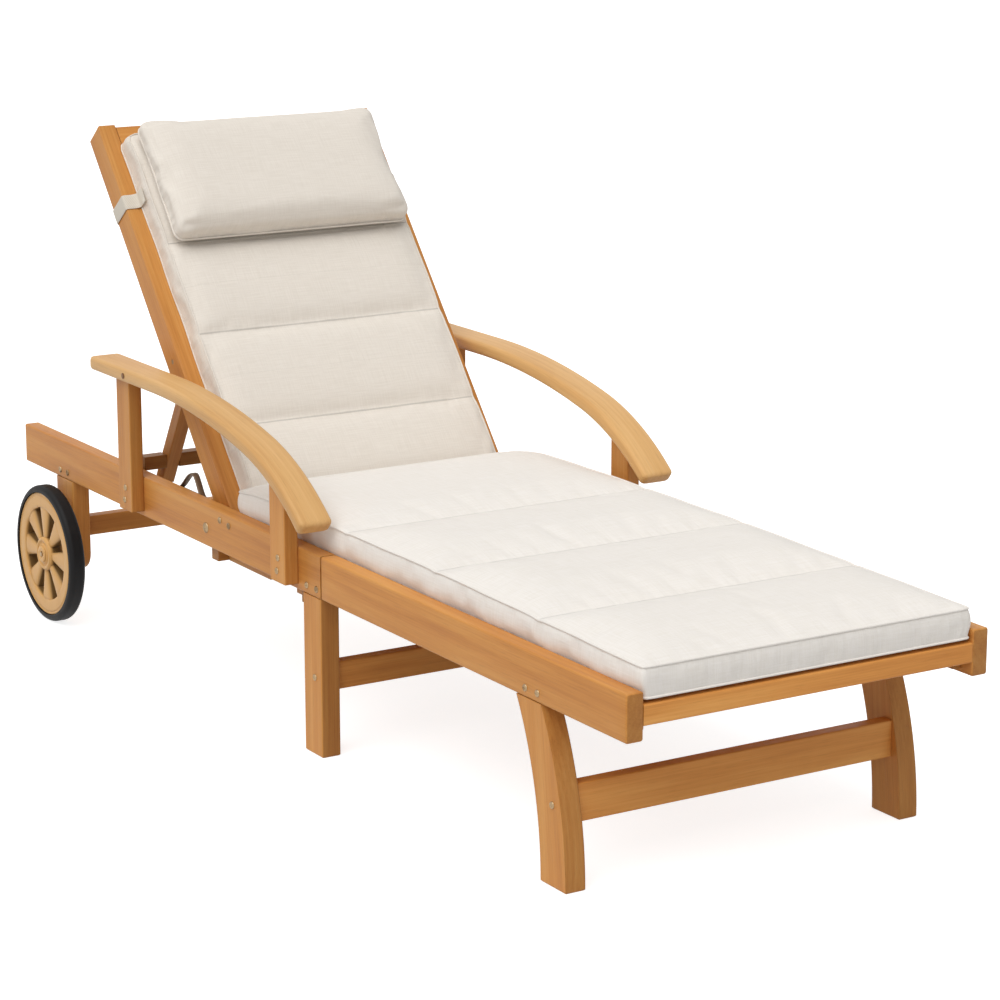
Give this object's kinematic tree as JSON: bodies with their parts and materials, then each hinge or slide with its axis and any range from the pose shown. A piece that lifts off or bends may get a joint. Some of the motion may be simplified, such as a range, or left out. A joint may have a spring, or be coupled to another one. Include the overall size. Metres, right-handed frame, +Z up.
{
  "type": "sun lounger",
  "caption": "Wooden sun lounger with a folding slatted backrest, bent armrests, spoked wheels at the head, a side tray, fitted cushions and a head pillow.",
  "frame": {"origin": "on the floor under the middle of the side rails' length and width", "axes": "+X towards the foot end, +Y the sitter's left, +Z up"},
  "size_m": [2, 0.727, 0.9127],
  "materials": {
    "honey_wood": "oiled, satin",
    "wheel_wood": "oiled, satin",
    "dark_wood": "oiled, matte",
    "cushion_linen": "woven, matte",
    "pillow_linen": "woven, matte",
    "strap_webbing": "woven, matte",
    "zinc_steel": "zinc plated",
    "bow_steel": "dark satin",
    "tyre_rubber": "matte"
  },
  "bodies": {
    "frame": {"arm_plugs": "honey_wood", "arm_post_front_left": "honey_wood", "arm_post_front_right": "honey_wood", "arm_post_rear_left": "honey_wood", "arm_post_rear_right": "honey_wood", "armrest_left": "honey_wood", "armrest_right": "honey_wood", "axle_left": "zinc_steel", "axle_right": "zinc_steel", "foot_rail": "honey_wood", "frame_bolts": "zinc_steel", "front_leg_left": "honey_wood", "front_leg_right": "honey_wood", "front_rail_left": "honey_wood", "front_rail_right": "honey_wood", "front_stretcher": "honey_wood", "hinge_packer_left": "honey_wood", "hinge_packer_right": "honey_wood", "mid_leg_left": "honey_wood", "mid_leg_right": "honey_wood", "mid_stretcher": "honey_wood", "pivot_bolts": "zinc_steel", "post_screws": "zinc_steel", "prop_rack_left": "honey_wood", "prop_rack_right": "honey_wood", "rack_bows": "bow_steel", "rear_leg_left": "honey_wood", "rear_leg_right": "honey_wood", "rear_rail_left": "honey_wood", "rear_rail_right": "honey_wood", "rear_stretcher": "honey_wood", "seat_cushion": "cushion_linen", "seat_ledger_left": "honey_wood", "seat_ledger_right": "honey_wood", "seat_slats": "honey_wood", "tray_runner_front": "honey_wood", "tray_runner_rear": "honey_wood"},
    "backrest": {"back_stile_left": "honey_wood", "back_stile_right": "honey_wood", "back_top_rail": "honey_wood", "back_slats": "honey_wood", "prop_pins": "zinc_steel", "back_cushion": "cushion_linen", "head_pillow": "pillow_linen", "cushion_straps": "strap_webbing"},
    "prop": {"prop_strut_left": "honey_wood", "prop_strut_right": "honey_wood", "prop_bar": "dark_wood"},
    "wheel_left": {"wheel_left": "wheel_wood", "tyre_left": "tyre_rubber", "hub_cap_left": "wheel_wood"},
    "wheel_right": {"wheel_right": "wheel_wood", "tyre_right": "tyre_rubber", "hub_cap_right": "wheel_wood"},
    "tray": {"tray_back_board": "honey_wood", "tray_front_board": "honey_wood", "tray_side_front": "honey_wood", "tray_side_rear": "honey_wood", "tray_slats": "honey_wood"}
  },
  "joints": [
    {"name": "backrest_hinge", "type": "hinge", "parent": "frame", "child": "backrest", "pos_m": [-0.252, 0, 0.2915], "axis": [0, 1, 0], "range_deg": [-50.5, 9.5]},
    {"name": "prop_hinge", "type": "hinge", "parent": "backrest", "child": "prop", "pos_m": [-0.45192, 0, 0.53402], "axis": [0, 1, 0], "range_deg": [-19, 99]},
    {"name": "wheel_spin_left", "type": "hinge", "parent": "frame", "child": "wheel_left", "pos_m": [-0.829, 0.344, 0.125], "axis": [0, 1, 0], "continuous": true},
    {"name": "wheel_spin_right", "type": "hinge", "parent": "frame", "child": "wheel_right", "pos_m": [-0.829, -0.344, 0.125], "axis": [0, 1, 0], "continuous": true},
    {"name": "tray_slide", "type": "slide", "parent": "frame", "child": "tray", "axis": [0, -1, 0], "range_m": [0, 0.3]}
  ],
  "couplings": [
    {"joint": "prop_hinge", "follows": "backrest_hinge", "ratio": -1.95}
  ]
}
